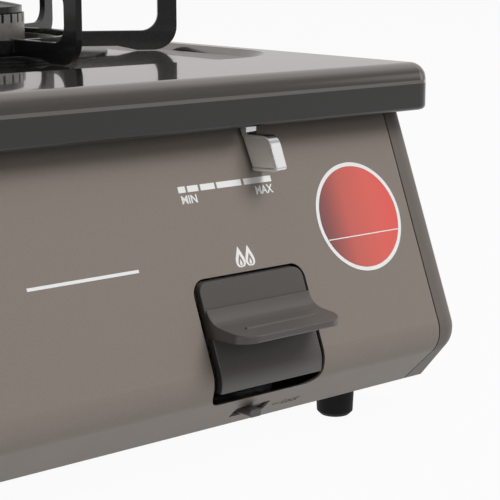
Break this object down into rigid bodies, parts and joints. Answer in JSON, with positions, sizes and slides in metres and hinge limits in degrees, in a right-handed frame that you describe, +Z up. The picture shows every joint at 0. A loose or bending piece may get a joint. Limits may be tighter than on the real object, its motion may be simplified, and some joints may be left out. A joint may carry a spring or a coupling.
{
  "type": "two-burner gas stove",
  "caption": "Low table-top gas stove with twin burners, six-armed trivets, a sloping front, push ignition levers, flame levers and child lock slides.",
  "frame": {"origin": "on the table under the middle of the stove's overall box", "axes": "+X to the user's right, +Y to the back, +Z up"},
  "size_m": [0.595, 0.4776, 0.1831],
  "materials": {
    "brown_paint": "warm grey-brown metallic paint, satin",
    "rim_paint": "dark grey gloss",
    "zinc_steel": "zinc-plated sheet and wire",
    "black_rubber": "matt",
    "brass": "turned",
    "lever_plastic": "satin dark brown-grey",
    "cast_alloy": "as cast",
    "bright_chrome": "polished",
    "black_enamel": "glossy black enamel",
    "ceramic_white": "glazed ceramic"
  },
  "bodies": {
    "stove": {"base_tray": "zinc_steel", "front_panel": "brown_paint", "right_side_panel": "brown_paint", "left_side_panel": "brown_paint", "rear_panel": "brown_paint", "top_frame": "rim_paint", "top_plate": "brown_paint", "rubber_feet": "black_rubber", "foot_screws": "zinc_steel", "case_screws": "zinc_steel", "gas_manifold": "zinc_steel", "hose_nozzle": "brass", "right_control_bracket": "zinc_steel", "right_lever_pin": "zinc_steel", "right_plunger_spring": "zinc_steel", "right_valve_body": "cast_alloy", "right_injector": "brass", "right_air_shutter": "zinc_steel", "right_burner_body": "cast_alloy", "right_burner_support": "zinc_steel", "right_drip_ring": "black_enamel", "right_spark_electrode": "ceramic_white", "right_thermocouple": "brass", "right_igniter": "lever_plastic", "left_control_bracket": "zinc_steel", "left_lever_pin": "zinc_steel", "left_plunger_spring": "zinc_steel", "left_valve_body": "cast_alloy", "left_injector": "brass", "left_air_shutter": "zinc_steel", "left_burner_body": "cast_alloy", "left_burner_support": "zinc_steel", "left_drip_ring": "black_enamel", "left_spark_electrode": "ceramic_white", "left_thermocouple": "brass", "left_igniter": "lever_plastic"},
    "right_lever": {"right_ignition_lever": "lever_plastic"},
    "right_plunger_rod": {"right_plunger": "zinc_steel"},
    "right_flame_lever": {"right_flame_spindle": "brass", "right_flame_arm": "zinc_steel", "right_flame_knob": "bright_chrome"},
    "right_lock": {"right_lock_slide": "lever_plastic"},
    "right_pan_support": {"right_trivet": "black_enamel"},
    "right_flame_ring": {"right_burner_head": "cast_alloy"},
    "right_flame_cap": {"right_burner_cap": "black_enamel"},
    "left_lever": {"left_ignition_lever": "lever_plastic"},
    "left_plunger_rod": {"left_plunger": "zinc_steel"},
    "left_flame_lever": {"left_flame_spindle": "brass", "left_flame_arm": "zinc_steel", "left_flame_knob": "bright_chrome"},
    "left_lock": {"left_lock_slide": "lever_plastic"},
    "left_pan_support": {"left_trivet": "black_enamel"},
    "left_flame_ring": {"left_burner_head": "cast_alloy"},
    "left_flame_cap": {"left_burner_cap": "black_enamel"}
  },
  "joints": [
    {"name": "right_lever_press", "type": "hinge", "parent": "stove", "child": "right_lever", "pos_m": [0.188, -0.19619, 0.0757], "axis": [1, 0, 0], "range_deg": [0, 15], "stiffness_Nm_per_rad": 1.5, "springref_deg": -2.86},
    {"name": "right_plunger_push", "type": "slide", "parent": "stove", "child": "right_plunger_rod", "axis": [0, 1, 0], "range_m": [0, 0.00655], "deforming": ["right_plunger_spring"]},
    {"name": "right_flame_swing", "type": "hinge", "parent": "stove", "child": "right_flame_lever", "pos_m": [0.188, -0.10523, 0.1273], "axis": [0, 0, 1], "range_deg": [-20.6, 0]},
    {"name": "right_lock_shift", "type": "slide", "parent": "stove", "child": "right_lock", "axis": [1, 0, 0], "range_m": [0, 0.005]},
    {"name": "right_trivet_lift", "type": "slide", "parent": "stove", "child": "right_pan_support", "axis": [0, 0, 1], "range_m": [0, 0.08]},
    {"name": "right_head_lift", "type": "slide", "parent": "stove", "child": "right_flame_ring", "axis": [0, 0, 1], "range_m": [0, 0.05]},
    {"name": "right_cap_lift", "type": "slide", "parent": "right_flame_ring", "child": "right_flame_cap", "axis": [0, 0, 1], "range_m": [0, 0.04]},
    {"name": "left_lever_press", "type": "hinge", "parent": "stove", "child": "left_lever", "pos_m": [-0.188, -0.19619, 0.0757], "axis": [1, 0, 0], "range_deg": [0, 15], "stiffness_Nm_per_rad": 1.5, "springref_deg": -2.86},
    {"name": "left_plunger_push", "type": "slide", "parent": "stove", "child": "left_plunger_rod", "axis": [0, 1, 0], "range_m": [0, 0.00655], "deforming": ["left_plunger_spring"]},
    {"name": "left_flame_swing", "type": "hinge", "parent": "stove", "child": "left_flame_lever", "pos_m": [-0.188, -0.10523, 0.1273], "axis": [0, 0, 1], "range_deg": [-20.6, 0]},
    {"name": "left_lock_shift", "type": "slide", "parent": "stove", "child": "left_lock", "axis": [1, 0, 0], "range_m": [0, 0.005]},
    {"name": "left_trivet_lift", "type": "slide", "parent": "stove", "child": "left_pan_support", "axis": [0, 0, 1], "range_m": [0, 0.08]},
    {"name": "left_head_lift", "type": "slide", "parent": "stove", "child": "left_flame_ring", "axis": [0, 0, 1], "range_m": [0, 0.05]},
    {"name": "left_cap_lift", "type": "slide", "parent": "left_flame_ring", "child": "left_flame_cap", "axis": [0, 0, 1], "range_m": [0, 0.04]}
  ],
  "couplings": [
    {"joint": "right_plunger_push", "follows": "right_lever_press", "m_per_rad": 0.02497},
    {"joint": "left_plunger_push", "follows": "left_lever_press", "m_per_rad": 0.02497}
  ]
}
